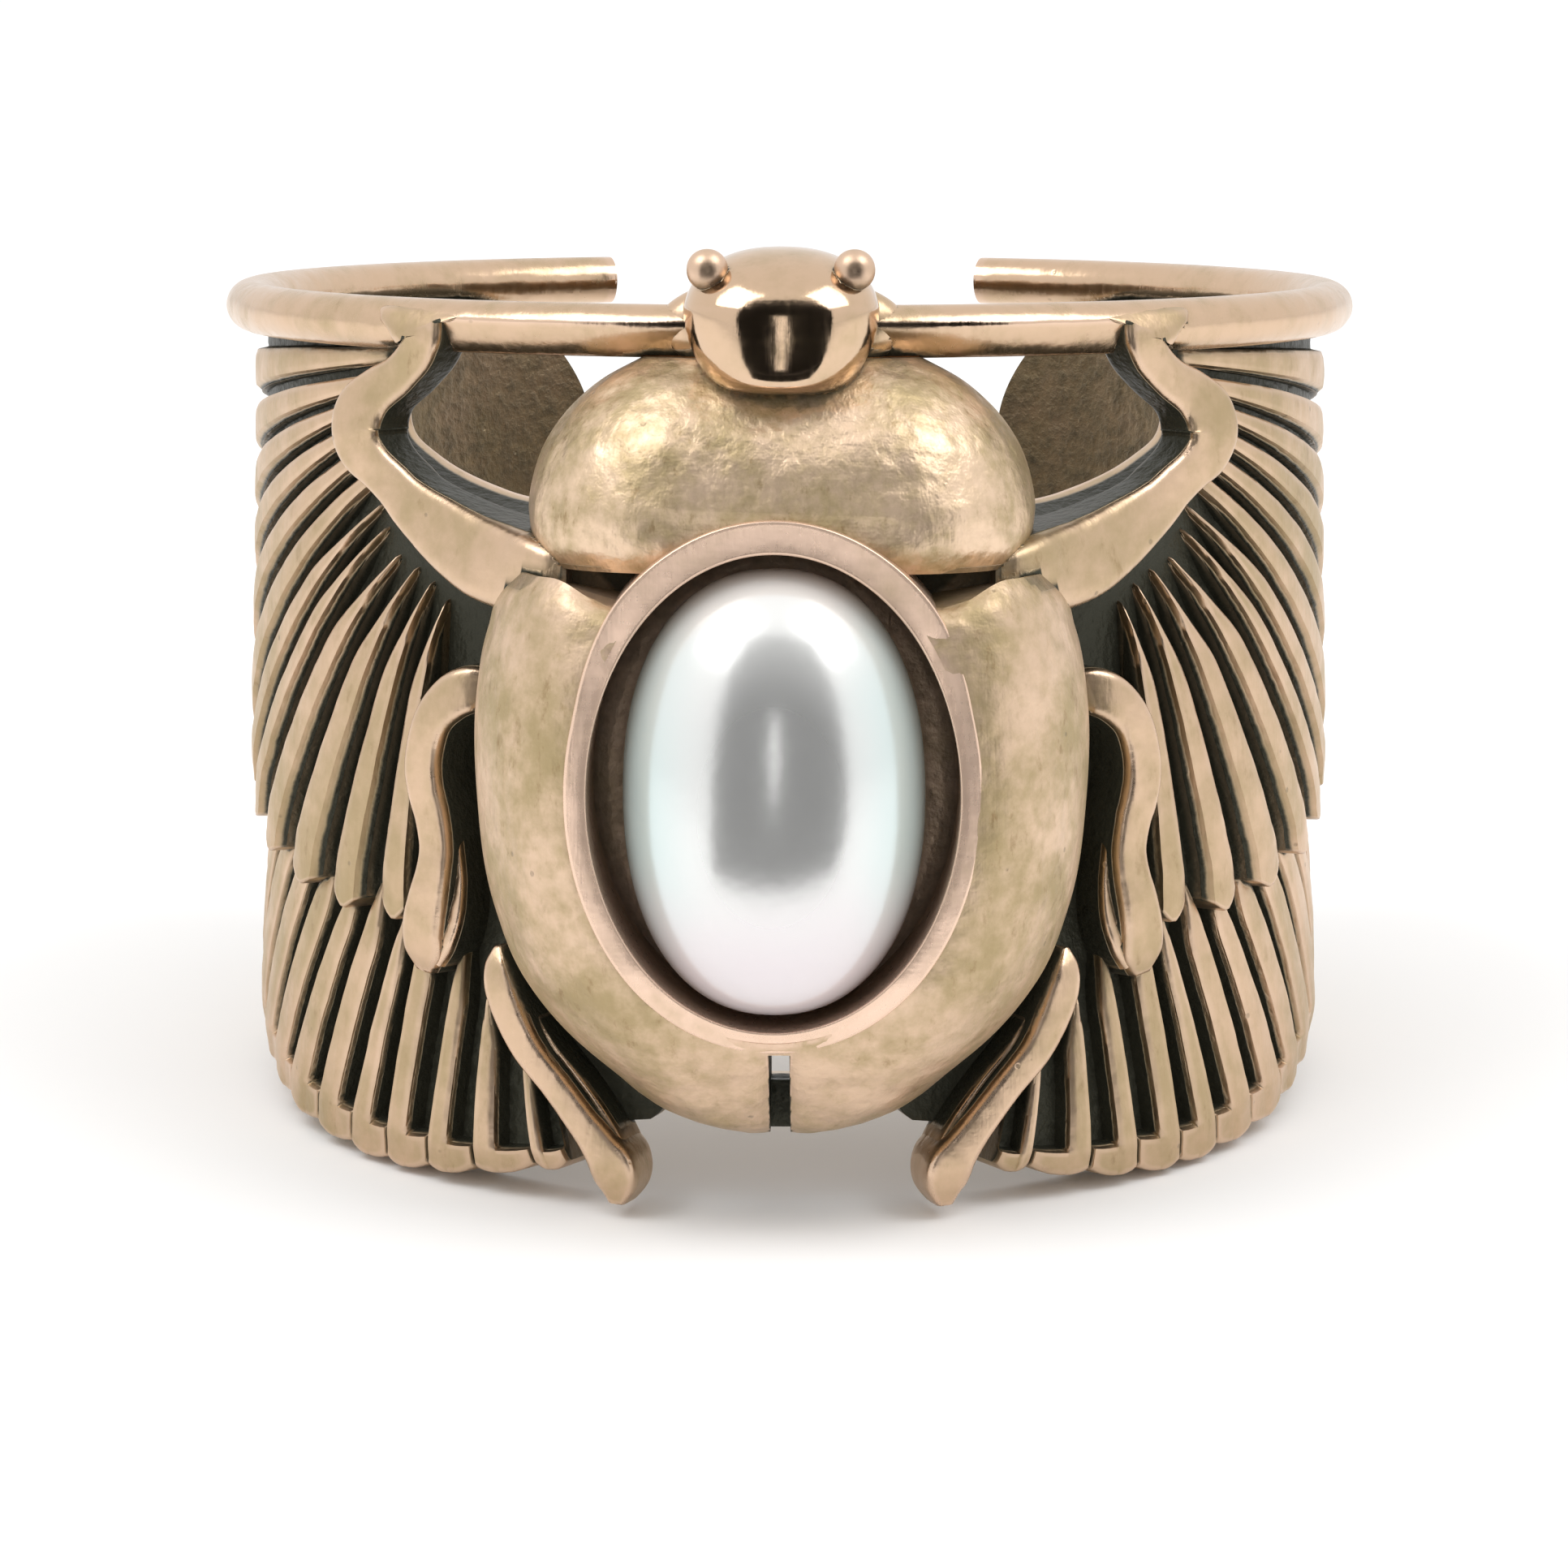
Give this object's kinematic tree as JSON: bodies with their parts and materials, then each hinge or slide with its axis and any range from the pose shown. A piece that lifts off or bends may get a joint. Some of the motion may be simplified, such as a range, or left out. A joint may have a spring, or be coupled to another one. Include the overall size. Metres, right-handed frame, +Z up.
{
  "type": "finger ring",
  "caption": "Wide cuff ring, open at the back, with a winged scarab on its front, feather relief on both sides and an oval pearl in a well.",
  "frame": {"origin": "on the floor under the middle of the ring's bounding box", "axes": "the scarab faces -Y, +X runs across from wing to wing, +Z is up; the finger axis leans back from +Z towards +Y by 7 degrees, as the ring stands by itself on its lower edge"},
  "size_m": [0.0214, 0.0248, 0.0176],
  "materials": {
    "rose_gold_metal": "polished and lightly worn rose-gold metal, with dark oxidised grooves",
    "pearl_nacre": "white nacre with a soft greenish and pink overtone, satin gloss"
  },
  "bodies": {
    "root": {"scarab_cuff": "rose_gold_metal", "pearl": "pearl_nacre"}
  },
  "joints": []
}
